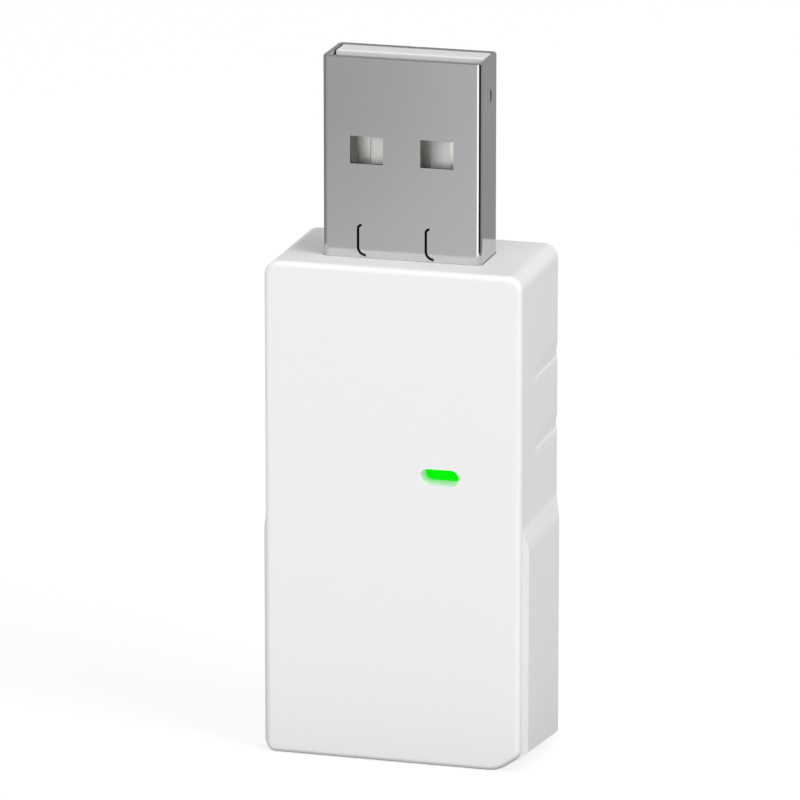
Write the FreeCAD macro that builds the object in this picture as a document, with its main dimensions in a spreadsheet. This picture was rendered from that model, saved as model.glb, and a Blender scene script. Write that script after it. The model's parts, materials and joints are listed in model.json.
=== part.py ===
import FreeCAD, Part
import math
import os
import re
import Sketcher

# A small USB Bluetooth gateway: a two-shell white housing with a USB-A plug standing out of its top.
# Millimetres. +Z is up towards the plug's tip, the face with the status light looks along -Y, and +X is
# to the right of someone who looks at that face. The origin is the middle of the flat base.

SIZES = {
    # Housing, outside
    "body_width": 19.5,
    "body_depth": 10.9,
    "body_height": 37.7,
    "wall": 1.1,
    "front_depth": 0.47,
    "top_corner": 1.1,
    "base_corner_low": 2.4,
    "base_corner_high": 1.0,
    "base_corner_left": 0.7,
    "base_bevel_width": 1.75,
    "base_bevel_height": 1.2,
    "base_bevel_bend": 0.35,
    "base_bevel_left": 0.45,
    "base_bevel_back": 0.1,
    "edge_round": 0.42,
    # Raised pads low on the sides
    "pad_height": 18.6,
    "pad_proud": 0.36,
    "pad_top_slope": 1.6,
    "pad_front_slope": 0.65,
    "pad_back_slope": 0.5,
    "pad_round": 3.0,
    # Finger grips higher on the sides: ledges that face up, deepest at the back edge
    "grip_low": 23.75,
    "grip_pitch": 5.45,
    "grip_depth": 0.13,
    "grip_above": 1.6,
    "grip_ledge": 0.3,
    "grip_below": 0.7,
    "grip_reach": 6.9,
    "grip_end": 0.5,
    "grip_notch": 0.35,
    "grip_notch_rise": 0.45,
    "grip_notch_reach": 1.0,
    # How the two covers meet
    "fit_gap": 0.1,
    "lip_depth": 1.6,
    "lip_wall": 0.7,
    "catch_radius": 0.28,
    "catch_length": 3.0,
    "catch_low": 9.0,
    "catch_high": 25.0,
    # Status light
    "light_width": 2.95,
    "light_height": 1.25,
    "light_side": 3.6,
    "light_below_top": 15.5,
    "light_recess": 1.5,
    "guide_nose": 0.3,
    "guide_flange": 0.6,
    "guide_flange_margin": 0.6,
    "guide_gap": 0.2,
    "light_pipe_margin": 0.5,
    "collar_wall": 0.6,
    "collar_depth": 0.8,
    # USB-A plug
    "plug_width": 12.0,
    "plug_depth": 4.5,
    "plug_length": 15.0,
    "plug_root": 3.75,
    "plug_forward": 0.55,
    "shell_wall": 0.3,
    "shell_bend": 0.42,
    "rim_break": 0.08,
    "seam_gap": 0.08,
    "seam_key_neck": 1.4,
    "seam_key_head": 2.2,
    "seam_key_depth": 1.1,
    "seam_key_below_tip": 10.2,
    "window_width": 2.5,
    "window_height": 2.07,
    "window_spacing": 5.3,
    "window_below_tip": 5.9,
    "lance_height": 2.25,
    "lance_radius": 0.6,
    "lance_head": 0.28,
    "lance_slit": 0.19,
    "lance_below_tip": 12.55,
    "lance_spacing": 5.13,
    "lance_side": -0.74,
    "dimple_radius": 0.5,
    "dimple_below_tip": 2.86,
    "dimple_shift": 1.2,
    "dimple_half_turn": 80,
    "leg_width": 2.4,
    "leg_length": 2.4,
    # Insulator and contacts of the plug
    "slide_gap": 0.05,
    "tongue_depth": 1.84,
    "tongue_below_tip": 0.08,
    "cavity_length": 12.2,
    "latch_recess": 0.6,
    "contact_width": 1.0,
    "contact_sheet": 0.2,
    "contact_proud": 0.05,
    "contact_play": 0.02,
    "contact_nose": 0.12,
    "power_contact_side": 3.5,
    "data_contact_side": 1.0,
    "power_contact_below_tip": 1.5,
    "data_contact_below_tip": 2.5,
    "contact_tail": 2.4,
    # Main circuit board
    "board_width": 15.4,
    "board_sheet": 1.0,
    "board_corner": 0.6,
    "board_base_gap": 0.6,
    "board_slot_gap": 0.1,
    "post_radius": 0.9,
    "post_side": 6.5,
    "post_low": 4.0,
    "post_below_root": 5.35,
    "peg_radius": 0.5,
    "peg_tip": 0.4,
    # Radio module
    "module_width": 10.6,
    "module_height": 15.0,
    "module_sheet": 0.8,
    "module_low": 2.0,
    "can_width": 9.4,
    "can_height": 8.6,
    "can_depth": 1.7,
    "can_sheet": 0.2,
    "can_bend": 0.45,
    "can_edge_gap": 0.8,
    "antenna_edge_gap": 0.8,
    # Small parts soldered to the boards
    "solder_ends": 0.4,
    "solder_rise": 0.04,
    "lead_sheet": 0.15,
    "lead_width": 0.4,
    "lead_reach": 0.55,
    "lead_pitch": 0.95,
    "crystal_lid_margin": 0.2,
    "crystal_base": 0.3,
    "lamp_margin": 0.6,
    "lamp_side_margin": 0.2,
    "lamp_base": 0.25,
    "lamp_resistor_step": 3.2,
    "ferrite_drop": 1.6,
    "data_resistor_drop": 1.4,
    "capacitor_drop": 4.95,
    "surge_protector_drop": 5.35,
    "regulator_drop": 9.15,
}

# Width across the board, height up the board and depth of each small part, and where it has no
# neighbour to line up with, how far it lies to the right.
SMALL_PARTS = {
    "status_led": (2.0, 1.25, 0.75),
    "led_resistor": (1.6, 0.8, 0.45),
    "voltage_regulator": (1.6, 2.9, 1.1, -3.4),
    "input_capacitor": (1.25, 2.0, 1.15, -4.6),
    "output_capacitor": (1.25, 2.0, 1.15, -2.3),
    "surge_protector": (1.6, 2.9, 1.0, 2.4),
    "power_ferrite": (0.8, 1.6, 0.8),
    "data_minus_resistor": (0.5, 1.0, 0.35),
    "data_plus_resistor": (0.5, 1.0, 0.35),
    "radio_chip": (5.0, 5.0, 0.85, -1.4),
    "crystal": (2.0, 2.5, 0.6, 2.9),
    "chip_antenna": (6.5, 2.2, 1.1, 0.0),
}
for label, sizes in SMALL_PARTS.items():
    for word, size in zip(("width", "height", "depth", "right"), sizes):
        SIZES[f"{label}_{word}"] = size

# Places that follow from the sizes. Those along the depth are measured forwards from the middle plane.
PLACES = {
    "side": "body_width / 2",
    "front": "body_depth / 2",
    "parting": "front - front_depth",
    "lid_inside": "front - wall",
    "guide_seat": "front - light_recess - guide_nose",
    "pad_side": "side + pad_proud",
    "bevel_reach": "base_bevel_width + pad_proud",
    "bevel_rise": "base_bevel_height * bevel_reach / base_bevel_width",
    "back_inside": "wall - body_depth / 2",
    "inside_side": "side - wall",
    "top_inside": "body_height - wall",
    "lip_side": "inside_side - fit_gap",
    "tip": "body_height + plug_length",
    "root": "body_height - plug_root",
    "plug_front": "plug_forward + plug_depth / 2",
    "plug_back": "plug_forward - plug_depth / 2",
    "bore_side": "plug_width / 2 - shell_wall",
    "bore_front": "plug_front - shell_wall",
    "bore_back": "plug_back + shell_wall",
    "tongue_back": "bore_back + slide_gap",
    "tongue_front": "tongue_back + tongue_depth",
    "contact_front": "tongue_front + contact_proud",
    "contact_back": "contact_front - contact_sheet",
    "board_front": "contact_back",
    "board_back": "board_front - board_sheet",
    "board_low": "wall + board_base_gap",
    "board_high": "root - slide_gap",
    "module_front": "board_front + module_sheet",
    "can_low": "module_low + module_height - can_edge_gap - can_height",
    "light_pipe_width": "light_width - light_pipe_margin",
    "catch_forward": "parting - lip_depth / 2",
    "tail_end": "root - contact_tail",
    "post_high": "root - post_below_root",
    "light_up": "body_height - light_below_top",
    "status_led_right": "light_side",
    "status_led_up": "light_up",
    "led_resistor_right": "light_side - lamp_resistor_step",
    "led_resistor_up": "light_up",
    "power_ferrite_right": "-power_contact_side",
    "power_ferrite_up": "tail_end - ferrite_drop",
    "data_minus_resistor_right": "-data_contact_side",
    "data_minus_resistor_up": "tail_end - data_resistor_drop",
    "data_plus_resistor_right": "data_contact_side",
    "data_plus_resistor_up": "tail_end - data_resistor_drop",
    "input_capacitor_up": "tail_end - capacitor_drop",
    "output_capacitor_up": "tail_end - capacitor_drop",
    "surge_protector_up": "tail_end - surge_protector_drop",
    "voltage_regulator_up": "tail_end - regulator_drop",
    "radio_chip_up": "can_low + can_height / 2",
    "crystal_up": "can_low + can_height / 2",
    "chip_antenna_up": "module_low + antenna_edge_gap + chip_antenna_height / 2",
}

doc = FreeCAD.newDocument("usb_bluetooth_gateway")
sheet = doc.addObject("Spreadsheet::Sheet", "Sizes")
for row, (alias, size) in enumerate(SIZES.items(), start=1):
    sheet.set(f"A{row}", alias)
    sheet.set(f"B{row}", str(size))
    sheet.setAlias(f"B{row}", alias)
doc.recompute()


# Expressions

def cells(text):
    """Write out an expression of sizes and places in terms of the sheet's cells."""
    def put(match):
        word = match[0]
        if word in PLACES:
            return f"({cells(PLACES[word])})"
        return f"Sizes.{word}" if word in SIZES else word
    return re.sub(r"[a-z_]+", put, text)


def value(text):
    """The number that an expression of sizes and places has now."""
    return float(sheet.evalExpression(cells(text)))


# Sketches

def sketch(body, name, plane, offset="0"):
    """A sketch on one of the body's own origin planes, moved along the plane's normal."""
    drawing = body.newObject("Sketcher::SketchObject", name)
    support = next(f for f in body.Origin.OriginFeatures if f.Role == plane)
    drawing.AttachmentSupport = (support, "")
    drawing.MapMode = "FlatFace"
    drawing.setExpression("AttachmentOffset.Base.z", cells(offset))
    return drawing


def tie(drawing, kind, where, text):
    """A driving constraint bound to the sheet."""
    number = drawing.addConstraint(Sketcher.Constraint(kind, *where, value(text)))
    drawing.setExpression(f"Constraints[{number}]", cells(text))


def pin(drawing, shape, end, across, along):
    """Hold one end or the centre of a shape at a place in the sketch."""
    tie(drawing, "DistanceX", (-1, 1, shape, end), across)
    tie(drawing, "DistanceY", (-1, 1, shape, end), along)


def polygon(drawing, points):
    """A closed outline of straight lines through the points."""
    spots = [FreeCAD.Vector(value(across), value(along), 0) for across, along in points]
    count = len(spots)
    lines = [drawing.addGeometry(Part.LineSegment(spots[i], spots[(i + 1) % count]), False)
             for i in range(count)]
    for i in range(count):
        drawing.addConstraint(Sketcher.Constraint("Coincident", lines[i], 2, lines[(i + 1) % count], 1))
    for line, (across, along) in zip(lines, points):
        pin(drawing, line, 1, across, along)


def rectangle(drawing, left, low, right, high):
    polygon(drawing, [(left, low), (right, low), (right, high), (left, high)])


def circle(drawing, across, along, radius):
    middle = FreeCAD.Vector(value(across), value(along), 0)
    ring = drawing.addGeometry(Part.Circle(middle, FreeCAD.Vector(0, 0, 1), value(radius)), False)
    pin(drawing, ring, 3, across, along)
    tie(drawing, "Radius", (ring,), radius)


def arc(drawing, across, along, radius, start, end):
    """An arc about a pinned centre. Its two ends stay free for the lines that meet them."""
    middle = FreeCAD.Vector(value(across), value(along), 0)
    whole = Part.Circle(middle, FreeCAD.Vector(0, 0, 1), value(radius))
    curve = Part.ArcOfCircle(whole, math.radians(start), math.radians(end))
    number = drawing.addGeometry(curve, False)
    pin(drawing, number, 3, across, along)
    tie(drawing, "Radius", (number,), radius)
    return number, curve


def bridge(drawing, first, first_end, second, second_end, smooth=True):
    """A straight line from an end of one arc to an end of another, tangent to both if smooth."""
    ends = []
    for (number, curve), end in ((first, first_end), (second, second_end)):
        ends.append(curve.StartPoint if end == 1 else curve.EndPoint)
    line = drawing.addGeometry(Part.LineSegment(*ends), False)
    kind = "Tangent" if smooth else "Coincident"
    drawing.addConstraint(Sketcher.Constraint(kind, first[0], first_end, line, 1))
    drawing.addConstraint(Sketcher.Constraint(kind, line, 2, second[0], second_end))


def rounded_rectangle(drawing, left, low, right, high, radius):
    corners = [
        (f"{left} + ({radius})", f"{low} + ({radius})", 180),
        (f"{right} - ({radius})", f"{low} + ({radius})", 270),
        (f"{right} - ({radius})", f"{high} - ({radius})", 0),
        (f"{left} + ({radius})", f"{high} - ({radius})", 90),
    ]
    arcs = [arc(drawing, across, along, radius, start, start + 90) for across, along, start in corners]
    for i in range(len(arcs)):
        bridge(drawing, arcs[i], 2, arcs[(i + 1) % len(arcs)], 1)


def pill(drawing, across, along, width, height):
    """A slot with round ends, longer across than it is high."""
    reach = f"(({width}) - ({height})) / 2"
    left = arc(drawing, f"{across} - {reach}", along, f"({height}) / 2", 90, 270)
    right = arc(drawing, f"{across} + {reach}", along, f"({height}) / 2", -90, 90)
    bridge(drawing, left, 2, right, 1)
    bridge(drawing, right, 2, left, 1)


# Features

def new_body(label):
    body = doc.addObject("PartDesign::Body", label)
    body.Label = label
    return body


def grow(body, drawing, length, name, backwards=False):
    """Pad a sketch along its normal, or against it if backwards."""
    feature = body.newObject("PartDesign::Pad", name)
    feature.Profile = drawing
    feature.setExpression("Length", cells(length))
    feature.Reversed = backwards
    doc.recompute()
    return feature


def cut(body, drawing, length, name, forwards=False):
    """Pocket a sketch against its normal, or along it if forwards."""
    before = body.Shape.Volume
    feature = body.newObject("PartDesign::Pocket", name)
    feature.Profile = drawing
    feature.setExpression("Length", cells(length))
    feature.Reversed = forwards
    doc.recompute()
    if body.Shape.Volume >= before:
        raise RuntimeError(f"{body.Label}: {name} removes nothing")
    return feature


def loft(body, first, second, name, remove=False):
    """A ruled solid between two sketches, added to the body or taken from it."""
    before = body.Shape.Volume
    kind = "PartDesign::SubtractiveLoft" if remove else "PartDesign::AdditiveLoft"
    feature = body.newObject(kind, name)
    feature.Profile = first
    feature.Sections = [second]
    feature.Ruled = True
    doc.recompute()
    if remove and body.Shape.Volume >= before:
        raise RuntimeError(f"{body.Label}: {name} removes nothing")
    return feature


def mirror(body, features, name):
    """Repeat features on the other side of the plane between left and right."""
    feature = body.newObject("PartDesign::Mirrored", name)
    feature.Originals = features
    plane = next(f for f in body.Origin.OriginFeatures if f.Role == "YZ_Plane")
    feature.MirrorPlane = (plane, [""])
    body.Tip = feature
    doc.recompute()
    return feature


def edges_at(body, places):
    """Names of the edges nearest to each of the places, given as expressions of x, y and z."""
    names = []
    for place in places:
        spot = Part.Vertex(*[value(text) for text in place])
        gaps = [spot.distToShape(edge)[0] for edge in body.Shape.Edges]
        names.append(f"Edge{gaps.index(min(gaps)) + 1}")
    return sorted(set(names))


def edges_in_plane(body, axis, place):
    """Names of the edges that lie wholly in a plane across one axis."""
    level = value(place)
    names = []
    for number, edge in enumerate(body.Shape.Edges, start=1):
        box = edge.BoundBox
        low, high = getattr(box, f"{axis}Min"), getattr(box, f"{axis}Max")
        if abs(low - level) < 1e-4 and abs(high - level) < 1e-4:
            names.append(f"Edge{number}")
    return names


def blend(body, names, size, name, flat=False):
    """Round the named edges of the body as it is now, or cut them off flat."""
    base = body.Tip
    feature = body.newObject("PartDesign::Chamfer" if flat else "PartDesign::Fillet", name)
    feature.Base = (base, names)
    feature.setExpression("Size" if flat else "Radius", cells(size))
    doc.recompute()
    return feature


# Housing

def grip(body, up, name):
    """A ledge with gentle slopes above and below it, and a round notch over it in the back edge."""
    outline = [
        ("grip_depth", "2 * grip_above"),
        ("-grip_depth", "0"),
        ("-grip_depth / 4", "-grip_ledge"),
        ("grip_depth / 4", "-(grip_ledge + 2 * grip_below)"),
    ]
    ends = []
    for word, share, where in (("deep", "1", "-(body_depth / 2 + fit_gap)"),
                               ("end", "grip_end", "grip_reach - body_depth / 2")):
        drawing = sketch(body, f"{name}_{word}", "XZ_Plane", where)
        polygon(drawing, [(f"side + {share} * ({across})", f"{up} + {share} * ({rise})")
                          for across, rise in outline])
        ends.append(drawing)
    ledge = loft(body, *ends, name, remove=True)
    drawing = sketch(body, f"{name}_notch_outline", "YZ_Plane", "side + fit_gap")
    circle(drawing, "body_depth / 2", f"{up} + grip_notch_rise", "grip_notch")
    notch = cut(body, drawing, "fit_gap + grip_notch_reach", f"{name}_notch")
    return [ledge, notch]


def base_bevel(body, sign, share, name):
    """A bent cut under one side that follows the lid's corner and nearly runs out at the back."""
    outline = [
        ("-(1 + 5 * base_bevel_bend) * bevel_reach", "-2 * base_bevel_bend * bevel_rise"),
        ("-(1 - base_bevel_bend) * bevel_reach", "base_bevel_bend * bevel_rise"),
        ("bevel_reach", "2 * bevel_rise"),
        ("bevel_reach", "-2 * base_bevel_bend * bevel_rise"),
    ]
    ends = []
    for word, size, where in (("front", share, "parting + fit_gap"),
                              ("back", f"{share} * base_bevel_back", "-(body_depth / 2 + fit_gap)")):
        drawing = sketch(body, f"{name}_{word}", "XZ_Plane", where)
        polygon(drawing, [(f"{sign}(pad_side + {size} * ({across}))", f"{size} * ({rise})")
                          for across, rise in outline])
        ends.append(drawing)
    return loft(body, *ends, name, remove=True)


def rear_cover():
    """The deep shell: it holds the board, and the plug stands out through its top wall."""
    body = new_body("rear_cover")
    outline = sketch(body, "outline", "XZ_Plane", "parting")
    rectangle(outline, "-side", "0", "side", "body_height")
    grow(body, outline, "body_depth - front_depth", "block", backwards=True)
    tops = [(f"{sign}side", "0", "body_height") for sign in ("-", "")]
    blend(body, edges_at(body, tops), "top_corner", "top_corners")
    blend(body, edges_in_plane(body, "Y", "body_depth / 2"), "edge_round", "back_edges")

    # The raised pad slopes up to its face at the front, the top and the back
    pad_back = "body_depth / 2 - edge_round"
    foot = sketch(body, "pad_foot", "YZ_Plane", "side")
    rectangle(foot, "-parting", "0", pad_back, "pad_height")
    face = sketch(body, "pad_face", "YZ_Plane", "pad_side")
    rectangle(face, "pad_front_slope - parting", "0",
              f"{pad_back} - pad_back_slope", "pad_height - pad_top_slope")
    pad = loft(body, foot, face, "side_pad")
    mirror(body, [pad], "side_pads")
    soft = [(f"{sign}pad_side", "0", "pad_height - pad_top_slope") for sign in ("-", "")]
    blend(body, edges_at(body, soft), "pad_round", "pad_top_rounds")

    for number in range(2):
        mirror(body, grip(body, f"grip_low + {number} * grip_pitch", f"grip_{number}"), f"grips_{number}")
    base_bevel(body, "", "1", "right_bevel")
    base_bevel(body, "-", "base_bevel_left", "left_bevel")

    room = sketch(body, "room", "XZ_Plane", "parting")
    rectangle(room, "-inside_side", "wall", "inside_side", "top_inside")
    cut(body, room, "parting - back_inside", "inside")
    mouth = sketch(body, "plug_mouth", "XY_Plane", "body_height")
    rounded_rectangle(mouth, "-(plug_width / 2 + slide_gap)", "-(plug_front + slide_gap)",
                      "plug_width / 2 + slide_gap", "-(plug_back - slide_gap)", "shell_bend + slide_gap")
    cut(body, mouth, "wall + fit_gap", "plug_opening")

    # Four posts carry the board, and two of them end in pegs that pass through it
    posts = sketch(body, "post_rings", "XZ_Plane", "board_back")
    for right in ("-post_side", "post_side"):
        for up in ("post_low", "post_high"):
            circle(posts, right, up, "post_radius")
    grow(body, posts, "board_back - back_inside + wall / 2", "posts", backwards=True)
    pegs = sketch(body, "peg_rings", "XZ_Plane", "board_back")
    circle(pegs, "-post_side", "post_high", "peg_radius")
    circle(pegs, "post_side", "post_low", "peg_radius")
    grow(body, pegs, "board_sheet + peg_tip", "pegs")

    for name, low in (("low", "catch_low"), ("high", "catch_high")):
        seat = sketch(body, f"catch_seat_{name}", "XY_Plane", f"{low} - fit_gap")
        for sign in ("-", ""):
            circle(seat, f"{sign}lip_side", "-catch_forward", "catch_radius + fit_gap")
        cut(body, seat, "catch_length + 2 * fit_gap", f"catch_seats_{name}", forwards=True)
    return body


def front_cover():
    """The lid: a rounded rim, an inlay and a lip that stand inside the walls, and the light's well."""
    body = new_body("front_cover")
    outline = sketch(body, "outline", "XZ_Plane", "parting")
    slant = [("side - base_bevel_width", "0"), ("side", "base_bevel_height")]
    polygon(outline, [("-side", "0"), *slant, ("side", "body_height"), ("-side", "body_height")])
    grow(body, outline, "front_depth", "plate")
    middle = "-(parting + front) / 2"
    tops = [(f"{sign}side", middle, "body_height") for sign in ("-", "")]
    blend(body, edges_at(body, tops), "top_corner", "top_corners")
    for (across, up), end in zip(slant, ("low", "high")):
        blend(body, edges_at(body, [(across, middle, up)]), f"base_corner_{end}", f"{end}_right_corner")
    blend(body, edges_at(body, [("-side", middle, "0")]), "base_corner_left", "low_left_corner")
    blend(body, edges_in_plane(body, "Y", "-front"), "edge_round", "front_edges")

    # The inlay makes the lid as thick as the walls, and the lip is left out where the plug passes
    inlay = sketch(body, "inlay_outline", "XZ_Plane", "parting")
    rectangle(inlay, "-lip_side", "wall + fit_gap", "lip_side", "top_inside - fit_gap")
    grow(body, inlay, "parting - lid_inside", "inlay", backwards=True)
    lip = sketch(body, "lip_rings", "XZ_Plane", "parting")
    rectangle(lip, "-lip_side", "wall + fit_gap", "lip_side", "top_inside - fit_gap")
    rectangle(lip, "lip_wall - lip_side", "wall + fit_gap + lip_wall",
              "lip_side - lip_wall", "top_inside - fit_gap - lip_wall")
    grow(body, lip, "lip_depth", "lip", backwards=True)
    gap = sketch(body, "lip_gap_outline", "XZ_Plane", "lid_inside")
    rectangle(gap, "-(plug_width / 2 + lip_wall)", "top_inside - 2 * lip_wall",
              "plug_width / 2 + lip_wall", "top_inside")
    cut(body, gap, "2 * lip_depth", "lip_gap")
    for name, low in (("low", "catch_low"), ("high", "catch_high")):
        ridge = sketch(body, f"catch_outline_{name}", "XY_Plane", low)
        for sign in ("-", ""):
            circle(ridge, f"{sign}lip_side", "-catch_forward", "catch_radius")
        grow(body, ridge, "catch_length", f"catches_{name}")

    # The light's well reaches in to the light guide, and its collar holds the guide's flange
    well = sketch(body, "well_outline", "XZ_Plane", "guide_seat - collar_depth")
    light_pill(well, "guide_flange_margin + fit_gap + collar_wall")
    grow(body, well, "parting - guide_seat + collar_depth", "well")
    collar = sketch(body, "collar_outline", "XZ_Plane", "guide_seat")
    light_pill(collar, "guide_flange_margin + fit_gap")
    cut(body, collar, "collar_depth + fit_gap", "collar")
    slot = sketch(body, "light_slot_outline", "XZ_Plane", "front + fit_gap")
    light_pill(slot, "0")
    cut(body, slot, "front - guide_seat + 2 * fit_gap", "light_slot")

    # The clamp posts press the board onto the rear cover's posts
    posts = sketch(body, "clamp_rings", "XZ_Plane", "parting")
    circle(posts, "post_side", "post_high", "post_radius")
    circle(posts, "-post_side", "post_low", "post_radius")
    grow(body, posts, "parting - board_front", "clamp_posts", backwards=True)
    return body


def light_pill(drawing, margin):
    """The light's own outline, wider by a margin all round."""
    pill(drawing, "light_side", "light_up", f"light_width + 2 * ({margin})",
         f"light_height + 2 * ({margin})")


def light_guide():
    """Clear pill that carries the light from the lamp on the board to the bottom of the well."""
    body = new_body("light_guide")
    flange = sketch(body, "flange_outline", "XZ_Plane", "guide_seat")
    light_pill(flange, "guide_flange_margin")
    grow(body, flange, "guide_flange", "flange", backwards=True)
    nose = sketch(body, "nose_outline", "XZ_Plane", "guide_seat")
    light_pill(nose, "-slide_gap")
    grow(body, nose, "guide_nose", "nose")
    pipe = sketch(body, "pipe_outline", "XZ_Plane", "guide_seat")
    pill(pipe, "light_side", "light_up", "light_pipe_width", "light_height")
    grow(body, pipe, "guide_seat - board_front - status_led_depth - guide_gap", "pipe", backwards=True)
    return body


# Plug

def lance(drawing, across, low):
    """A slit down the left of a tab: a small turn at its head and a wide one at its foot."""
    rows = []
    for radius, along, start in (("lance_radius", f"{low} + lance_radius", 180),
                                 ("lance_head", f"{low} + lance_height - lance_head", 90)):
        rows.append([arc(drawing, f"{across} + {radius}", along, f"{radius} {sign} lance_slit / 2",
                         start, start + 90) for sign in ("+", "-")])
    lower, upper = rows
    for below, above in zip(lower, upper):
        bridge(drawing, above, 2, below, 1)
        drawing.addConstraint(Sketcher.Constraint("Vertical", below[0], 2, below[0], 3))
        drawing.addConstraint(Sketcher.Constraint("Vertical", above[0], 1, above[0], 3))
    bridge(drawing, lower[0], 2, lower[1], 2, smooth=False)
    bridge(drawing, upper[0], 1, upper[1], 1, smooth=False)


def crescent(drawing, across, along):
    """A thin moon between two arcs that share their ends."""
    half_turn = value("dimple_half_turn")
    rise = "dimple_radius * sin(dimple_half_turn * 1 deg)"
    outer = arc(drawing, across, along, "dimple_radius", -half_turn, half_turn)
    run = value("dimple_radius") * math.cos(math.radians(half_turn)) + value("dimple_shift")
    reach = math.hypot(run, value(rise))
    swing = math.degrees(math.atan2(value(rise), run))
    middle = FreeCAD.Vector(value(f"{across} - dimple_shift"), value(along), 0)
    whole = Part.Circle(middle, FreeCAD.Vector(0, 0, 1), reach)
    curve = Part.ArcOfCircle(whole, math.radians(-swing), math.radians(swing))
    inner = drawing.addGeometry(curve, False)
    pin(drawing, inner, 3, f"{across} - dimple_shift", along)
    for end in (1, 2):
        drawing.addConstraint(Sketcher.Constraint("Coincident", outer[0], end, inner, end))
    tie(drawing, "DistanceY", (-1, 1, outer[0], 2), f"{along} + {rise}")


def usb_shell():
    """One folded sheet of steel, its edges meeting in a keyed seam down the back."""
    body = new_body("usb_shell")
    section = sketch(body, "section", "XY_Plane", "root")
    rounded_rectangle(section, "-plug_width / 2", "-plug_front", "plug_width / 2", "-plug_back",
                      "shell_bend")
    rounded_rectangle(section, "-bore_side", "-bore_front", "bore_side", "-bore_back",
                      "shell_bend - shell_wall")
    grow(body, section, "plug_root + plug_length", "tube")
    legs = sketch(body, "leg_outlines", "XY_Plane", "root")
    for left, right in (("-plug_width / 2", "-bore_side"), ("bore_side", "plug_width / 2")):
        rectangle(legs, left, "-(plug_forward + leg_width / 2)", right, "leg_width / 2 - plug_forward")
    grow(body, legs, "leg_length", "legs", backwards=True)
    blend(body, edges_in_plane(body, "Z", "tip"), "rim_break", "rim", flat=True)

    windows = sketch(body, "window_outlines", "XZ_Plane", "plug_front + shell_wall")
    high = "tip - window_below_tip"
    for sign in ("-", ""):
        middle = f"{sign}window_spacing / 2"
        rectangle(windows, f"{middle} - window_width / 2", f"{high} - window_height",
                  f"{middle} + window_width / 2", high)
    cut(body, windows, "plug_depth + 2 * shell_wall", "windows")
    slits = sketch(body, "lance_outlines", "XZ_Plane", "plug_front + shell_wall")
    for across in LANCES:
        lance(slits, across, "tip - lance_below_tip - lance_height")
    cut(body, slits, "plug_depth + 2 * shell_wall", "lances")
    moons = sketch(body, "dimple_outlines", "YZ_Plane", "plug_width / 2 + shell_wall")
    crescent(moons, "-plug_forward", "tip - dimple_below_tip")
    cut(body, moons, "plug_width + 2 * shell_wall", "side_dimples")

    # The seam is a thin gap that steps aside round one dovetail key
    seam = sketch(body, "seam_outline", "XZ_Plane", "bore_back + shell_wall")
    middle = "tip - seam_key_below_tip"
    half = "seam_gap / 2"
    neck, head = "seam_key_neck / 2", "seam_key_head / 2"
    polygon(seam, [
        (f"-{half}", "root - shell_wall"),
        (f"-{half}", f"{middle} - {neck} - {half}"),
        (f"-seam_key_depth - {half}", f"{middle} - {head} - {half}"),
        (f"-seam_key_depth - {half}", f"{middle} + {head} + {half}"),
        (f"-{half}", f"{middle} + {neck} + {half}"),
        (f"-{half}", "tip + shell_wall"),
        (half, "tip + shell_wall"),
        (half, f"{middle} + {neck} - {half}"),
        (f"{half} - seam_key_depth", f"{middle} + {head} - {half}"),
        (f"{half} - seam_key_depth", f"{middle} - {head} + {half}"),
        (half, f"{middle} - {neck} + {half}"),
        (half, "root - shell_wall"),
    ])
    cut(body, seam, "3 * shell_wall", "seam")
    return body


def usb_insulator():
    """White moulding that fills the root of the shell and reaches up it as the contact tongue."""
    body = new_body("usb_insulator")
    block = sketch(body, "block_outline", "XY_Plane", "root")
    rounded_rectangle(block, "slide_gap - bore_side", "slide_gap - bore_front",
                      "bore_side - slide_gap", "-tongue_back", "shell_bend - shell_wall")
    grow(body, block, "plug_root + plug_length - cavity_length", "block")
    tongue = sketch(body, "tongue_outline", "XY_Plane", "root")
    rectangle(tongue, "2 * slide_gap - bore_side", "-tongue_front",
              "bore_side - 2 * slide_gap", "-tongue_back")
    grow(body, tongue, "plug_root + plug_length - tongue_below_tip", "tongue")
    blend(body, edges_in_plane(body, "Z", "tip - tongue_below_tip"), "rim_break", "tongue_end", flat=True)

    # Slots for the contacts, closed in the block and open along the tongue's face
    for kind in ("power", "data"):
        slots = sketch(body, f"{kind}_slot_outlines", "XY_Plane", "root - contact_play")
        for sign in ("-", ""):
            middle = f"{sign}{kind}_contact_side"
            rectangle(slots, f"{middle} - contact_width / 2 - contact_play",
                      "-(contact_front + contact_play)",
                      f"{middle} + contact_width / 2 + contact_play", "-(contact_back - contact_play)")
        cut(body, slots, f"tip - {kind}_contact_below_tip - root + 2 * contact_play",
            f"{kind}_slots", forwards=True)

    # Recesses behind the shell's lanced tabs
    for name, start, forwards in (("front", "bore_front", False), ("back", "bore_back", True)):
        recess = sketch(body, f"{name}_latch_outlines", "XZ_Plane", start)
        for across in LANCES:
            rectangle(recess, f"{across} - lance_slit", "tip - lance_below_tip - lance_height - lance_slit",
                      f"{across} + 2 * lance_radius", "tip - lance_below_tip + lance_slit")
        cut(body, recess, "slide_gap + latch_recess", f"{name}_latches", forwards=forwards)
    return body


def contact(label, right, below_tip):
    """A flat strip that runs up the tongue and down onto the board as a solder tail."""
    body = new_body(label)
    section = sketch(body, "section", "XY_Plane", "tail_end")
    rectangle(section, f"{right} - contact_width / 2", "-contact_front",
              f"{right} + contact_width / 2", "-contact_back")
    grow(body, section, f"contact_tail + tip - root - {below_tip}", "strip")
    nose = [(right, "-contact_front", f"tip - {below_tip}")]
    blend(body, edges_at(body, nose), "contact_nose", "nose")
    return body


# Boards

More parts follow.
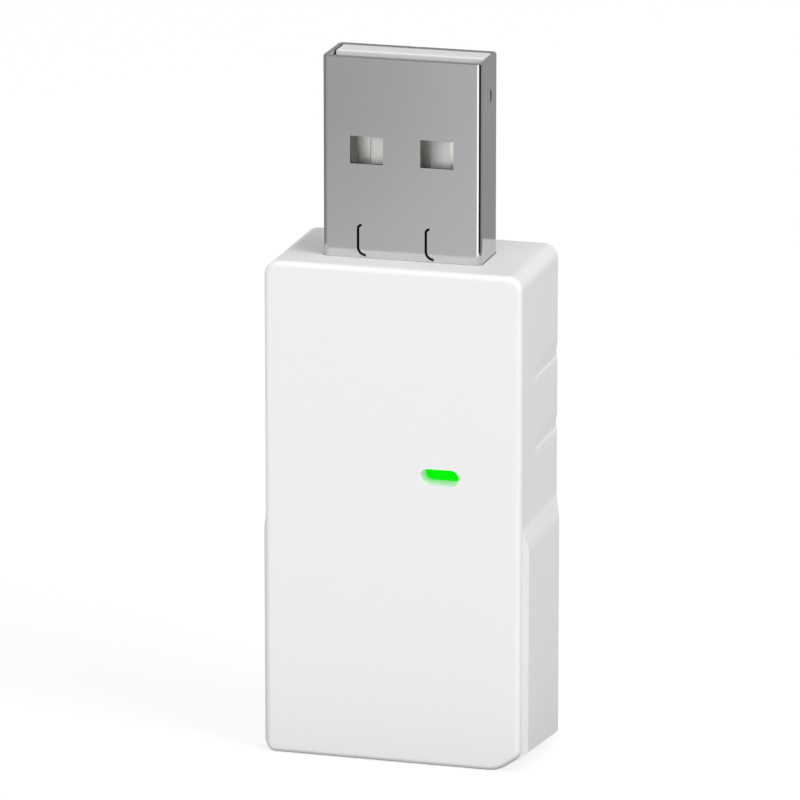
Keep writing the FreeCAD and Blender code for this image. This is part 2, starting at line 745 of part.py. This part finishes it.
def circuit_board():
    """The main board, slotted for the shell's legs and drilled for the rear cover's pegs."""
    body = new_body("circuit_board")
    outline = sketch(body, "outline", "XZ_Plane", "board_front")
    rounded_rectangle(outline, "-board_width / 2", "board_low", "board_width / 2", "board_high",
                      "board_corner")
    grow(body, outline, "board_sheet", "board", backwards=True)
    slots = sketch(body, "leg_slot_outlines", "XZ_Plane", "board_front")
    inner, outer = "bore_side - board_slot_gap", "plug_width / 2 + board_slot_gap"
    for left, right in ((f"-({outer})", f"-({inner})"), (inner, outer)):
        rectangle(slots, left, "root - leg_length - board_slot_gap", right, "root")
    cut(body, slots, "2 * board_sheet", "leg_slots")
    holes = sketch(body, "peg_hole_outlines", "XZ_Plane", "board_front")
    circle(holes, "-post_side", "post_high", "peg_radius + slide_gap")
    circle(holes, "post_side", "post_low", "peg_radius + slide_gap")
    cut(body, holes, "2 * board_sheet", "peg_holes")
    return body


def module_board():
    """The radio module's own small board, soldered flat to the main board."""
    body = new_body("module_board")
    outline = sketch(body, "outline", "XZ_Plane", "board_front")
    rectangle(outline, "-module_width / 2", "module_low", "module_width / 2", "module_low + module_height")
    grow(body, outline, "module_sheet", "board")
    return body


def shield_can():
    """Drawn steel cap over the radio chip, open towards the module board."""
    body = new_body("shield_can")
    outline = sketch(body, "outline", "XZ_Plane", "module_front")
    rounded_rectangle(outline, "-can_width / 2", "can_low", "can_width / 2", "can_low + can_height",
                      "can_bend")
    grow(body, outline, "can_depth", "block")
    top = "-(module_front + can_depth)"
    blend(body, edges_in_plane(body, "Y", top), "can_sheet", "top_bend", flat=True)
    room = sketch(body, "room", "XZ_Plane", "module_front")
    rounded_rectangle(room, "can_sheet - can_width / 2", "can_low + can_sheet",
                      "can_width / 2 - can_sheet", "can_low + can_height - can_sheet",
                      "can_bend - can_sheet")
    cut(body, room, "can_depth - can_sheet", "inside", forwards=True)
    return body


def centred(drawing, label, width, height, right_shift="0", up_shift="0"):
    """A rectangle about a small part's place on the board."""
    right, up = f"{label}_right + {right_shift}", f"{label}_up + {up_shift}"
    rectangle(drawing, f"{right} - ({width}) / 2", f"{up} - ({height}) / 2",
              f"{right} + ({width}) / 2", f"{up} + ({height}) / 2")


def plain_chip(label, seat="board_front"):
    body = new_body(label)
    outline = sketch(body, "outline", "XZ_Plane", seat)
    centred(outline, label, f"{label}_width", f"{label}_height")
    grow(body, outline, f"{label}_depth", "block")
    return body


def end_capped_chip(label, seat="board_front"):
    """A ceramic chip with a metal cap round each end, its ends along its longer side."""
    body = new_body(label)
    upright = value(f"{label}_height") > value(f"{label}_width")
    long_side, short_side = ("height", "width") if upright else ("width", "height")
    length, breadth = f"{label}_{long_side}", f"{label}_{short_side}"
    core = sketch(body, "core_outline", "XZ_Plane", seat)
    sizes = (f"{length} - solder_ends", f"{breadth} - 2 * solder_rise")
    centred(core, label, *(reversed(sizes) if upright else sizes))
    grow(body, core, f"{label}_depth - solder_rise", "core")
    caps = sketch(body, "cap_outlines", "XZ_Plane", seat)
    for sign in ("-", ""):
        shift = f"{sign}({length} - solder_ends) / 2"
        if upright:
            centred(caps, label, breadth, "solder_ends", up_shift=shift)
        else:
            centred(caps, label, "solder_ends", breadth, right_shift=shift)
    grow(body, caps, f"{label}_depth", "caps")
    return body


def leaded_chip(label, left_leads, right_leads):
    """A moulded chip with flat leads on its two long sides."""
    body = plain_chip(label)
    leads = sketch(body, "lead_outlines", "XZ_Plane", "board_front")
    for sign, count in (("-", left_leads), ("", right_leads)):
        for number in range(count):
            rise = f"({number} - {(count - 1) / 2}) * {2 / max(count - 1, 1)} * lead_pitch"
            centred(leads, label, "2 * lead_reach", "lead_width",
                    right_shift=f"{sign}{label}_width / 2", up_shift=rise)
    grow(body, leads, "lead_sheet", "leads")
    return body


def crystal():
    """A metal lid on a slightly larger ceramic base."""
    body = new_body("crystal")
    base = sketch(body, "base_outline", "XZ_Plane", "module_front")
    centred(base, "crystal", "crystal_width", "crystal_height")
    grow(body, base, "crystal_base", "base")
    lid = sketch(body, "lid_outline", "XZ_Plane", "module_front")
    centred(lid, "crystal", "crystal_width - crystal_lid_margin",
            "crystal_height - crystal_lid_margin")
    grow(body, lid, "crystal_depth", "lid")
    return body


def status_led():
    """The lamp behind the light guide: a flat base with a smaller clear lens on it."""
    body = new_body("status_led")
    base = sketch(body, "base_outline", "XZ_Plane", "board_front")
    centred(base, "status_led", "status_led_width", "status_led_height")
    grow(body, base, "lamp_base", "base")
    lens = sketch(body, "lens_outline", "XZ_Plane", "board_front")
    centred(lens, "status_led", "status_led_width - lamp_margin", "status_led_height - lamp_side_margin")
    grow(body, lens, "status_led_depth", "lens")
    return body


# The left edge of each lanced tab
LANCES = ("lance_side - lance_spacing / 2", "lance_side + lance_spacing / 2")

nodes = [
    rear_cover(),
    front_cover(),
    light_guide(),
    usb_shell(),
    usb_insulator(),
    contact("power_contact", "-power_contact_side", "power_contact_below_tip"),
    contact("data_minus_contact", "-data_contact_side", "data_contact_below_tip"),
    contact("data_plus_contact", "data_contact_side", "data_contact_below_tip"),
    contact("ground_contact", "power_contact_side", "power_contact_below_tip"),
    circuit_board(),
    module_board(),
    shield_can(),
    plain_chip("radio_chip", "module_front"),
    crystal(),
    end_capped_chip("chip_antenna", "module_front"),
    status_led(),
    end_capped_chip("led_resistor"),
    leaded_chip("voltage_regulator", 3, 2),
    end_capped_chip("input_capacitor"),
    end_capped_chip("output_capacitor"),
    leaded_chip("surge_protector", 3, 3),
    end_capped_chip("power_ferrite"),
    end_capped_chip("data_minus_resistor"),
    end_capped_chip("data_plus_resistor"),
]

doc.recompute()
for item in doc.Objects:
    if "Invalid" in item.State or "Error" in item.State:
        raise RuntimeError(f"{item.Name} failed: {item.State}")
os.makedirs("parts", exist_ok=True)
for node in nodes:
    if node.Shape.isNull() or not node.Shape.isValid() or len(node.Shape.Solids) != 1:
        raise RuntimeError(f"{node.Label} is not one sound solid")
    node.Shape.exportStep(f"parts/{node.Label}.step")
print(f"{len(nodes)} parts, {value('tip'):.2f} mm tall")
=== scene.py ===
import json
import math

import bpy
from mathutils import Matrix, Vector


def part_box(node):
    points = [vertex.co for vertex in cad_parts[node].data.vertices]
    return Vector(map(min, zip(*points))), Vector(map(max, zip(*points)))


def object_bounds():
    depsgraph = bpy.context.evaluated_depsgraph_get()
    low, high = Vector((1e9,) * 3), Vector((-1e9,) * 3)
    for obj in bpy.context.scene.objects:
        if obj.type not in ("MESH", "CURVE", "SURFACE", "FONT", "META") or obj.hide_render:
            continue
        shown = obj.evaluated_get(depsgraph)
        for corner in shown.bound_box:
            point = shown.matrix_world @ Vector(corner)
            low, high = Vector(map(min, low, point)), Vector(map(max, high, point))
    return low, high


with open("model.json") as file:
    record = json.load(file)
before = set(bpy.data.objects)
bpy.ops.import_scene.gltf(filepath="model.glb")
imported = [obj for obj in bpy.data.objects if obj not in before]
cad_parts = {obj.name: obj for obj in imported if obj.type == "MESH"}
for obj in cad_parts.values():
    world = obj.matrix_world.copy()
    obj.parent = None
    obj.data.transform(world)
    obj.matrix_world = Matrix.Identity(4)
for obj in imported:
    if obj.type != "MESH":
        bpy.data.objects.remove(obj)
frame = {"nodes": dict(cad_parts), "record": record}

# A small white gateway stick with a lit pill on its face and a USB-A plug on top, on a white floor.
# Metres, in the part's own frame: +Z up, the lit face looks along -Y, +X is to the viewer's right.

cad_low_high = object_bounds()
MM = 0.001
X, Y, Z = range(3)

# Camera: a long lens, so that upright edges stay upright. It is turned left and down by these degrees.
CAMERA_PLACE = (0.133823, -0.479012, 0.163784)
CAMERA_LEFT = 15.71
CAMERA_DOWN = 15.442
CAMERA_CLIP = (0.01, 20.0)
SENSOR_MM = 36.0
LENS_MM = 315.0

# Light: an even surround and three soft lamps, from the right and above, from the front and from behind.
# Each lamp has its direction, its size and its power.
SURROUND = 0.49
LAMP_DISTANCE = 0.9
LAMPS = {
    "key": (Vector((0.76, -0.28, 0.55)), 0.50, 4.20),
    "fill": (Vector((-0.20, -1.00, 0.12)), 0.50, 5.25),
    "back": (Vector((-0.55, 0.83, 0.06)), 0.10, 3.20),
}

# Floor: its glow is seen but lights nothing. To the light's own rays it is darker close round the base,
# which fades out between two distances.
FLOOR_SIZE = 3.0
FLOOR_GREY = (0.3, 0.3, 0.3)
FLOOR_DARK = (0.08, 0.08, 0.08)
FLOOR_DARK_FADE = (3.6 * MM, 8.4 * MM)
FLOOR_GLOW = 0.77

# Cards that only reflections see: share of a turn from the front towards the right, tone low, tone high.
# The tones fade from low to high between two heights.
CARD_RADIUS = 0.075
CARD_LOW = 0.0002
CARD_HIGH = 0.16
CARD_FADE = (0.0175, 0.032)
CARD_STEPS = 96
LID_TONE = 0.36
BASE_TONE = 0.45
CARD_TONES = [
    (0.000, 0.71, 0.65),
    (0.028, 0.73, 0.68),
    (0.036, 1.60, 1.60),
    (0.118, 1.60, 1.60),
    (0.128, 0.02, 0.02),
    (0.232, 0.02, 0.02),
    (0.250, 0.35, 0.38),
    (0.560, 0.36, 0.39),
    (0.700, 0.30, 0.30),
    (0.830, 0.30, 0.30),
    (0.850, 0.45, 0.45),
    (0.900, 0.60, 0.46),
    (0.948, 0.64, 0.50),
    (0.958, 0.67, 0.55),
    (0.970, 0.70, 0.63),
    (1.000, 0.71, 0.65),
]

# Painted glow on the walls of the light's slot, emission standing in for light there: its reach from the
# pill's middle, across and up, its start behind the face, its end behind the pill's front, and its
# strength at the face and at the pill
SLOT_REACH = {X: 1.60 * MM, Z: 0.70 * MM}
SLOT_START = 0.03 * MM
SLOT_END = 0.30 * MM
SLOT_PAINTED_GLOW = (0.12, 0.05)

# Cut edges of the plug's sheet: the sheet's thickness, the skin on both faces that stays bright, how
# much of the mouth's rim and of the bends is left out, and how dull the cut is
SHEET = 0.30 * MM
SHEET_SKIN = 0.03 * MM
SHEET_RIM = 1.0 * MM
SHEET_BEND = 0.6 * MM
CUT_ROUGHNESS = 0.6

# Painted shade on the moulding behind the plug's slits: it lies between two distances below the tip, and
# up to a depth in from the wide faces
SHADE_BELOW_TIP = (12.25 * MM, 15.0 * MM)
SHADE_DEPTH = 1.0 * MM

# Colours of the plug's sheet, bright and on its cut edges (dark as cut steel, darkened further as painted
# shade in the slits and windows), of its moulding, open and in painted shade behind the slits, and full
# white
STEEL = (0.62, 0.62, 0.63)
STEEL_CUT_SHADED = (0.06, 0.06, 0.065)
MOULDING = (0.88, 0.88, 0.86)
MOULDING_PAINTED_SHADE = (0.02, 0.02, 0.02)
FULL_WHITE = (1.0, 1.0, 1.0, 1.0)


# Node helpers

def principled(name, colour, roughness, metallic=0.0):
    """A new material, its node tree and its main shader, with plain values on the shader itself."""
    material = bpy.data.materials.new(name)
    material.use_nodes = True
    tree = material.node_tree
    shader = tree.nodes["Principled BSDF"]
    shader.inputs["Base Color"].default_value = (*colour, 1.0)
    shader.inputs["Roughness"].default_value = roughness
    shader.inputs["Metallic"].default_value = metallic
    material.diffuse_color = (*colour, 1.0)
    return material, tree, shader


def place(tree, stretch=(1.0, 1.0, 1.0)):
    """Coordinates in millimetres of the part's own frame, stretched along the axes."""
    source = tree.nodes.new("ShaderNodeTexCoord")
    scale = tree.nodes.new("ShaderNodeVectorMath")
    scale.operation = "MULTIPLY"
    scale.inputs[1].default_value = tuple(s / MM for s in stretch)
    tree.links.new(source.outputs["Object"], scale.inputs[0])
    return scale.outputs[0]


def object_axes(tree):
    """The place along X, Y and Z in metres, as three values."""
    source = tree.nodes.new("ShaderNodeTexCoord")
    split = tree.nodes.new("ShaderNodeSeparateXYZ")
    tree.links.new(source.outputs["Object"], split.inputs[0])
    return split.outputs


def noise(tree, where, scale, detail):
    """A smooth random value round 0.5."""
    node = tree.nodes.new("ShaderNodeTexNoise")
    node.inputs["Scale"].default_value = scale
    node.inputs["Detail"].default_value = detail
    tree.links.new(where, node.inputs["Vector"])
    return node.outputs["Fac"]


def spread(tree, source, low, high, start=0.3, end=0.7):
    """Map a varying value from start..end onto low..high."""
    node = tree.nodes.new("ShaderNodeMapRange")
    for socket, number in (("From Min", start), ("From Max", end), ("To Min", low), ("To Max", high)):
        node.inputs[socket].default_value = number
    tree.links.new(source, node.inputs["Value"])
    return node.outputs["Result"]


def bump(tree, shader, height, depth_mm, strength=1.0):
    """Raise the surface by up to a depth in millimetres, on top of any bump that it has."""
    node = tree.nodes.new("ShaderNodeBump")
    node.inputs["Strength"].default_value = strength
    node.inputs["Distance"].default_value = depth_mm * MM
    tree.links.new(height, node.inputs["Height"])
    normal = shader.inputs["Normal"]
    if normal.links:
        tree.links.new(normal.links[0].from_socket, node.inputs["Normal"])
    tree.links.new(node.outputs["Normal"], normal)


def blend_colours(tree, factor, low, high):
    """The first colour where the factor is 0, the second where it is 1."""
    node = tree.nodes.new("ShaderNodeMix")
    node.data_type = "RGBA"
    for name, colour in (("A", low), ("B", high)):
        inlet = next(s for s in node.inputs if s.name == name and s.type == "RGBA")
        inlet.default_value = (*colour, 1.0)
    tree.links.new(factor, node.inputs["Factor"])
    return next(s for s in node.outputs if s.type == "RGBA")


def calculate(tree, operation, first, second=None):
    """One step of arithmetic on sockets and numbers."""
    node = tree.nodes.new("ShaderNodeMath")
    node.operation = operation
    for number, value in enumerate((first, second)):
        if value is None:
            continue
        if isinstance(value, (int, float)):
            node.inputs[number].default_value = value
        else:
            tree.links.new(value, node.inputs[number])
    return node.outputs[0]


def product(tree, first, *others):
    """All the values multiplied: with values of 0 and 1, it is 1 only where all are 1."""
    for other in others:
        first = calculate(tree, "MULTIPLY", first, other)
    return first


def away_from(tree, value, middle):
    """How far a value lies from a middle, to either side."""
    return calculate(tree, "ABSOLUTE", calculate(tree, "SUBTRACT", value, middle))


def mixed(tree, factor, first, second):
    """The first value where the factor is 0, the second where it is 1."""
    rest = calculate(tree, "SUBTRACT", 1.0, factor)
    return calculate(tree, "ADD", product(tree, first, rest), product(tree, second, factor))


# Materials

def housing_white():
    """Satin white moulding: fine spark texture, slightly uneven gloss, and a painted glow on the walls of
    the light's slot.
    """
    material, tree, shader = principled("housing_white", (0.9, 0.9, 0.9), roughness=0.5)
    where = place(tree)
    grain = noise(tree, where, scale=9.0, detail=3.0)
    patches = noise(tree, where, scale=0.35, detail=2.0)
    tree.links.new(spread(tree, patches, 0.46, 0.54), shader.inputs["Roughness"])
    bump(tree, shader, grain, depth_mm=0.0012)
    shader.inputs["Specular IOR Level"].default_value = 0.12
    # Painted glow: emission lights the slot's walls, where the lamps reach little
    shader.inputs["Emission Color"].default_value = (0.85, 0.90, 0.90, 1.0)
    tree.links.new(painted_slot_glow(tree), shader.inputs["Emission Strength"])
    return material


def painted_slot_glow(tree):
    """Painted glow on the walls of the light's slot, stronger near the face, else 0."""
    guide_low, guide_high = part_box("light_guide")
    cover_low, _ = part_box("front_cover")
    middle = (guide_low + guide_high) / 2
    axes = object_axes(tree)
    inside = [
        calculate(tree, "GREATER_THAN", axes[Y], cover_low.y + SLOT_START),
        calculate(tree, "LESS_THAN", axes[Y], guide_low.y + SLOT_END),
    ]
    for axis, reach in SLOT_REACH.items():
        inside.append(calculate(tree, "LESS_THAN", away_from(tree, axes[axis], middle[axis]), reach))
    strength = spread(tree, axes[Y], *SLOT_PAINTED_GLOW, start=cover_low.y, end=guide_low.y)
    return product(tree, *inside, strength)


def light_green():
    """Clear pill, lit evenly from behind, in a green that is very slightly cloudy."""
    material, tree, shader = principled("light_green", (0.0, 0.06, 0.0), roughness=0.3)
    cloud = noise(tree, place(tree), scale=1.1, detail=1.0)
    shader.inputs["Specular IOR Level"].default_value = 0.05
    shader.inputs["Emission Strength"].default_value = 1.0
    lit = blend_colours(tree, spread(tree, cloud, 0.0, 1.0), (0.0, 0.80, 0.0), (0.0, 0.86, 0.0))
    tree.links.new(lit, shader.inputs["Emission Color"])
    return material


def shell_steel():
    """Bright plated sheet: nearly a mirror, with faint rolling lines and dull sheared edges, dark as cut
    steel and darker still with painted shade.
    """
    material, tree, shader = principled("shell_steel", STEEL, roughness=0.10, metallic=1.0)
    rolling = noise(tree, place(tree, stretch=(7.0, 7.0, 0.25)), scale=2.2, detail=3.0)
    waves = noise(tree, place(tree), scale=0.16, detail=0.0)
    specks = noise(tree, place(tree), scale=2.4, detail=3.0)
    sheared_and_shaded = sheared_edges_and_shade(tree)
    polish = spread(tree, specks, 0.09, 0.11)
    dull = product(tree, sheared_and_shaded, CUT_ROUGHNESS)
    tree.links.new(calculate(tree, "MAXIMUM", polish, dull), shader.inputs["Roughness"])
    # Cut edges: darker as cut steel, and painted darker still as the shade inside the slits and windows
    tree.links.new(blend_colours(tree, sheared_and_shaded, STEEL, STEEL_CUT_SHADED), shader.inputs["Base Color"])
    bump(tree, shader, waves, depth_mm=0.02)
    bump(tree, shader, rolling, depth_mm=0.00005)
    return material


def sheared_edges_and_shade(tree):
    """1 where the shell's sheet was cut through at the windows, slits and crescents, else 0; it carries
    both the cut steel and its painted shade.
    """
    low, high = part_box("usb_shell")
    middle, half = (low + high) / 2, (high - low) / 2
    axes = object_axes(tree)
    below_rim = calculate(tree, "LESS_THAN", axes[Z], high.z - SHEET_RIM)
    in_walls = []
    for across, along in ((X, Y), (Y, X)):
        away = away_from(tree, axes[across], middle[across])
        under_skin = calculate(tree, "LESS_THAN", away, half[across] - SHEET_SKIN)
        over_hollow = calculate(tree, "GREATER_THAN", away, half[across] - SHEET + SHEET_SKIN)
        aside = away_from(tree, axes[along], middle[along])
        off_bends = calculate(tree, "LESS_THAN", aside, half[along] - SHEET_BEND)
        in_walls.append(product(tree, under_skin, over_hollow, off_bends))
    return product(tree, calculate(tree, "MAXIMUM", *in_walls), below_rim)


def insulator_white():
    """Plain moulding, with painted shade where it lies behind the shell's slits."""
    material, tree, shader = principled("insulator_white", MOULDING, roughness=0.55)
    grain = noise(tree, place(tree), scale=12.0, detail=2.0)
    bump(tree, shader, grain, depth_mm=0.002)
    tree.links.new(spread(tree, grain, 0.5, 0.6), shader.inputs["Roughness"])
    # Painted shade: the moulding behind the slits is coloured near black
    tone = blend_colours(tree, slit_painted_shade(tree), MOULDING, MOULDING_PAINTED_SHADE)
    tree.links.new(tone, shader.inputs["Base Color"])
    return material


def slit_painted_shade(tree):
    """1 where shade is painted on the moulding behind the shell's slits, else 0."""
    low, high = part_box("usb_shell")
    middle, half = (low + high) / 2, (high - low) / 2
    axes = object_axes(tree)
    start, end = SHADE_BELOW_TIP
    below = calculate(tree, "LESS_THAN", axes[Z], high.z - start)
    above = calculate(tree, "GREATER_THAN", axes[Z], high.z - end)
    away = away_from(tree, axes[Y], middle.y)
    outer = calculate(tree, "GREATER_THAN", away, half.y - SHADE_DEPTH)
    return product(tree, below, above, outer)


def lined_metal(name, colour, roughness, stretch, scale, dullness, depth_mm):
    """A dull metal whose fine lines run along the axis that is stretched least."""
    material, tree, shader = principled(name, colour, roughness, metallic=1.0)
    lines = noise(tree, place(tree, stretch), scale, detail=3.0)
    tree.links.new(spread(tree, lines, *dullness), shader.inputs["Roughness"])
    bump(tree, shader, lines, depth_mm)
    return material


def mottled(name, colour, roughness, tones, scale, depth_mm):
    """A dull material whose fine grain runs between two tones."""
    material, tree, shader = principled(name, colour, roughness)
    grain = noise(tree, place(tree), scale, detail=4.0)
    tree.links.new(blend_colours(tree, spread(tree, grain, 0.0, 1.0), *tones), shader.inputs["Base Color"])
    bump(tree, shader, grain, depth_mm)
    return material


def contact_nickel():
    """Nickel plated strip, lined along its length."""
    return lined_metal("contact_nickel", (0.66, 0.64, 0.60), roughness=0.45, stretch=(20.0, 20.0, 0.6),
                       scale=2.0, dullness=(0.40, 0.55), depth_mm=0.0003)


def can_steel():
    """Tin plated sheet, lined across the part."""
    return lined_metal("can_steel", (0.66, 0.66, 0.66), roughness=0.32, stretch=(0.5, 12.0, 12.0),
                       scale=1.6, dullness=(0.26, 0.40), depth_mm=0.001)


def chip_black():
    """Black moulding compound."""
    return mottled("chip_black", (0.04, 0.04, 0.045), roughness=0.6,
                   tones=((0.03, 0.03, 0.034), (0.055, 0.055, 0.06)), scale=14.0, depth_mm=0.004)


def ceramic_tan():
    """Sintered ceramic of capacitors and the antenna."""
    return mottled("ceramic_tan", (0.55, 0.42, 0.30), roughness=0.45,
                   tones=((0.50, 0.38, 0.27), (0.60, 0.46, 0.33)), scale=7.0, depth_mm=0.003)


def board_green():
    """Solder mask, a little lighter where tracks run under it."""
    material, tree, shader = principled("board_green", (0.05, 0.25, 0.12), roughness=0.32)
    tracks = tree.nodes.new("ShaderNodeTexBrick")
    tracks.offset = 0.5
    tracks.inputs["Scale"].default_value = 0.9
    tracks.inputs["Mortar Size"].default_value = 0.03
    tracks.inputs["Color1"].default_value = (0.045, 0.24, 0.11, 1.0)
    tracks.inputs["Color2"].default_value = (0.055, 0.27, 0.13, 1.0)
    tracks.inputs["Mortar"].default_value = (0.10, 0.36, 0.18, 1.0)
    upright = tree.nodes.new("ShaderNodeVectorRotate")
    upright.rotation_type = "X_AXIS"
    upright.inputs["Angle"].default_value = math.radians(-90)
    tree.links.new(place(tree), upright.inputs["Vector"])
    tree.links.new(upright.outputs[0], tracks.inputs["Vector"])
    tree.links.new(tracks.outputs["Color"], shader.inputs["Base Color"])
    bump(tree, shader, tracks.outputs["Fac"], depth_mm=0.01, strength=0.5)
    return material


def lamp_clear():
    """Clear resin of the status lamp, lit green from inside."""
    material, tree, shader = principled("lamp_clear", (0.85, 0.92, 0.85), roughness=0.15)
    cloud = noise(tree, place(tree), scale=2.0, detail=1.0)
    shader.inputs["Emission Strength"].default_value = 0.6
    lit = blend_colours(tree, cloud, (0.02, 0.7, 0.05), (0.10, 0.95, 0.16))
    tree.links.new(lit, shader.inputs["Emission Color"])
    return material


# Each finish has the name of the material slot that it fills
FINISHES = (
    housing_white,
    light_green,
    shell_steel,
    insulator_white,
    contact_nickel,
    board_green,
    can_steel,
    chip_black,
    ceramic_tan,
    lamp_clear,
)


def dress_nodes():
    """Give each piece the finish that its material slot names."""
    slots = {part["node"]: part["material_slot"] for part in frame["record"]["subparts"]}
    made = {finish.__name__: finish() for finish in FINISHES}
    for name, piece in frame["nodes"].items():
        piece.data.materials.clear()
        piece.data.materials.append(made[slots[name]])


# Surroundings

def add(name, data):
    """A new object in the scene, made from a mesh, a lamp or a lens."""
    holder = bpy.data.objects.new(name, data)
    bpy.context.scene.collection.objects.link(holder)
    return holder


def seen_directly(tree):
    """1 for a ray from the camera, a reflection or a clear material, 0 for the light's own rays."""
    path = tree.nodes.new("ShaderNodeLightPath")
    either = calculate(tree, "MAXIMUM", path.outputs["Is Camera Ray"], path.outputs["Is Glossy Ray"])
    return calculate(tree, "MAXIMUM", either, path.outputs["Is Transmission Ray"])


def make_world():
    """An even white surround: full where it is seen, dimmer as light."""
    world = bpy.data.worlds.new("surround")
    bpy.context.scene.world = world
    world.use_nodes = True
    tree = world.node_tree
    background = tree.nodes["Background"]
    background.inputs["Color"].default_value = FULL_WHITE
    strength = spread(tree, seen_directly(tree), SURROUND, 1.0, start=0.0, end=1.0)
    tree.links.new(strength, background.inputs["Strength"])


def make_floor():
    """A white floor that keeps shadows, glows only where it is seen and lights little near the base."""
    half = FLOOR_SIZE / 2
    mesh = bpy.data.meshes.new("floor")
    corners = [(-half, -half, 0), (half, -half, 0), (half, half, 0), (-half, half, 0)]
    mesh.from_pydata(corners, [], [(0, 1, 2, 3)])
    floor = add("floor", mesh)
    mesh.materials.append(floor_white())


def floor_white():
    """The floor's dull finish, with its glow and its dark patch."""
    material, tree, shader = principled("floor_white", FLOOR_GREY, roughness=0.9)
    shader.inputs["Specular IOR Level"].default_value = 0.0
    shader.inputs["Emission Color"].default_value = FULL_WHITE
    glow = product(tree, seen_directly(tree), FLOOR_GLOW)
    tree.links.new(glow, shader.inputs["Emission Strength"])
    tone = blend_colours(tree, dark_patch(tree), FLOOR_GREY, FLOOR_DARK)
    tree.links.new(tone, shader.inputs["Base Color"])
    return material


def dark_patch(tree):
    """1 on the floor close round the object for the light's own rays, fading to 0 outwards."""
    low, high = cad_low_high
    axes = object_axes(tree)
    squares = []
    for axis in (X, Y):
        reach = (high[axis] - low[axis]) / 2
        past = calculate(tree, "SUBTRACT", calculate(tree, "ABSOLUTE", axes[axis]), reach)
        squares.append(calculate(tree, "POWER", calculate(tree, "MAXIMUM", past, 0.0), 2.0))
    distance = calculate(tree, "SQRT", calculate(tree, "ADD", *squares))
    start, end = FLOOR_DARK_FADE
    near = spread(tree, distance, 1.0, 0.0, start, end)
    path = tree.nodes.new("ShaderNodeLightPath")
    return product(tree, near, path.outputs["Is Diffuse Ray"])


def make_cards():
    """A ring of cards round the object, with a lid and a base, that only reflections see."""
    mesh = cards_mesh()
    cards = add("cards", mesh)
    mesh.materials.append(card_tones())
    for switch in ("camera", "diffuse", "transmission", "volume_scatter", "shadow"):
        setattr(cards, f"visible_{switch}", False)


def cards_mesh():
    """The ring as a closed drum: a low and a high point at each step, then its walls, lid and base."""
    points = []
    for step in range(CARD_STEPS):
        turn = 2 * math.pi * step / CARD_STEPS
        x, y = CARD_RADIUS * math.sin(turn), -CARD_RADIUS * math.cos(turn)
        points += [(x, y, CARD_LOW), (x, y, CARD_HIGH)]
    count = len(points)
    walls = [(i, (i + 2) % count, (i + 3) % count, i + 1) for i in range(0, count, 2)]
    lid, base = tuple(range(1, count, 2)), tuple(range(0, count, 2))
    mesh = bpy.data.meshes.new("cards")
    mesh.from_pydata(points, [], [*walls, lid, base])
    return mesh


def card_tones():
    """The cards' glow: the low and the high tones round the ring, and one tone each on lid and base."""
    material = bpy.data.materials.new("card_tones")
    material.use_nodes = True
    tree = material.node_tree
    tree.nodes.remove(tree.nodes["Principled BSDF"])
    axes = object_axes(tree)
    turn = share_of_turn(tree, axes)
    low_tone = tone_ramp(tree, turn, [(at, low) for at, low, high in CARD_TONES])
    high_tone = tone_ramp(tree, turn, [(at, high) for at, low, high in CARD_TONES])
    start, end = CARD_FADE
    tone = mixed(tree, spread(tree, axes[Z], 0.0, 1.0, start, end), low_tone, high_tone)
    on_lid = calculate(tree, "GREATER_THAN", axes[Z], CARD_HIGH - MM)
    on_base = calculate(tree, "LESS_THAN", axes[Z], CARD_LOW + MM)
    tone = mixed(tree, on_base, mixed(tree, on_lid, tone, LID_TONE), BASE_TONE)
    glow = tree.nodes.new("ShaderNodeEmission")
    tree.links.new(tone, glow.inputs["Strength"])
    tree.links.new(glow.outputs[0], tree.nodes["Material Output"].inputs["Surface"])
    return material


def share_of_turn(tree, axes):
    """0 in front of the object, a quarter on its right, and so on up to 1."""
    forward = calculate(tree, "MULTIPLY", axes[Y], -1.0)
    angle = calculate(tree, "ARCTAN2", axes[X], forward)
    return calculate(tree, "FRACT", calculate(tree, "DIVIDE", angle, 2 * math.pi))


def tone_ramp(tree, turn, tones):
    """The tone at each share of a turn, from rows that run from 0 to 1, as the ramp's own ends do."""
    ramp = tree.nodes.new("ShaderNodeValToRGB")
    stops = ramp.color_ramp.elements
    for at, _ in tones[1:-1]:
        stops.new(at)
    brightest = max(tone for _, tone in tones)
    for stop, (_, tone) in zip(stops, tones):
        share = tone / brightest
        stop.color = (share, share, share, 1.0)
    tree.links.new(turn, ramp.inputs["Fac"])
    return product(tree, ramp.outputs["Color"], brightest)


def make_lamps():
    """Square lamps at one distance, each facing the object's base."""
    for name, (direction, size, power) in LAMPS.items():
        lamp = bpy.data.lights.new(name, "AREA")
        lamp.shape = "SQUARE"
        lamp.size = size
        lamp.energy = power
        holder = add(name, lamp)
        holder.location = direction.normalized() * LAMP_DISTANCE
        holder.rotation_euler = direction.to_track_quat("Z", "Y").to_euler()


def make_camera():
    """The camera that the scene is seen through."""
    lens = bpy.data.cameras.new("camera")
    lens.sensor_width = SENSOR_MM
    lens.lens = LENS_MM
    lens.clip_start, lens.clip_end = CAMERA_CLIP
    camera = add("camera", lens)
    camera.location = CAMERA_PLACE
    camera.rotation_euler = (math.radians(90 - CAMERA_DOWN), 0.0, math.radians(CAMERA_LEFT))
    bpy.context.scene.camera = camera


bpy.context.scene.view_settings.view_transform = "Standard"
make_camera()
make_world()
make_floor()
make_cards()
make_lamps()
dress_nodes()
